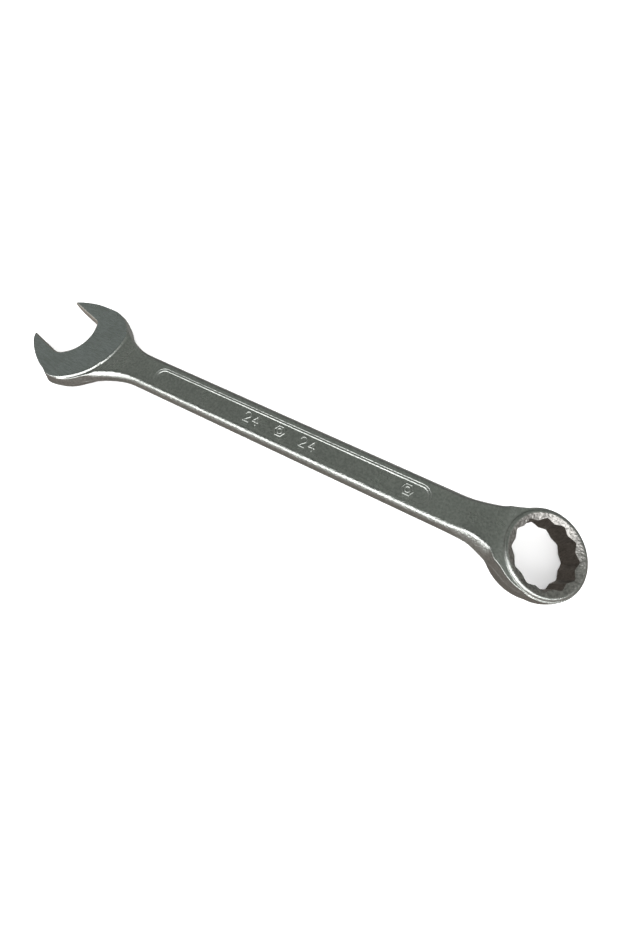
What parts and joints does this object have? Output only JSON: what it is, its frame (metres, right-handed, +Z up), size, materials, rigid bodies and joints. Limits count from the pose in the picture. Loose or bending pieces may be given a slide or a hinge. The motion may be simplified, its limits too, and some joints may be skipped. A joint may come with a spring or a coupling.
{
  "type": "combination wrench",
  "caption": "One-piece forged combination wrench: an open jaw set round from the shank at one end and a tilted twelve-point ring at the other, with a panelled flat shank.",
  "frame": {"origin": "centre of the open jaw, halfway through its thickness, where the nut's centre sits", "axes": "+X runs along the shank from the open jaw to the ring, +Z is up, square to the open head's ground faces, and +Y is to the left seen from above with +X ahead"},
  "size_m": [0.2739, 0.0458, 0.0232],
  "materials": {
    "ground_steel": "ground flat, then nickel and chrome plated",
    "satin_steel": "blasted and satin chrome plated"
  },
  "bodies": {
    "root": {"open_jaw_head": "ground_steel", "open_neck": "satin_steel", "shank": "satin_steel", "ring_neck": "satin_steel", "ring_head": "satin_steel"}
  },
  "joints": []
}
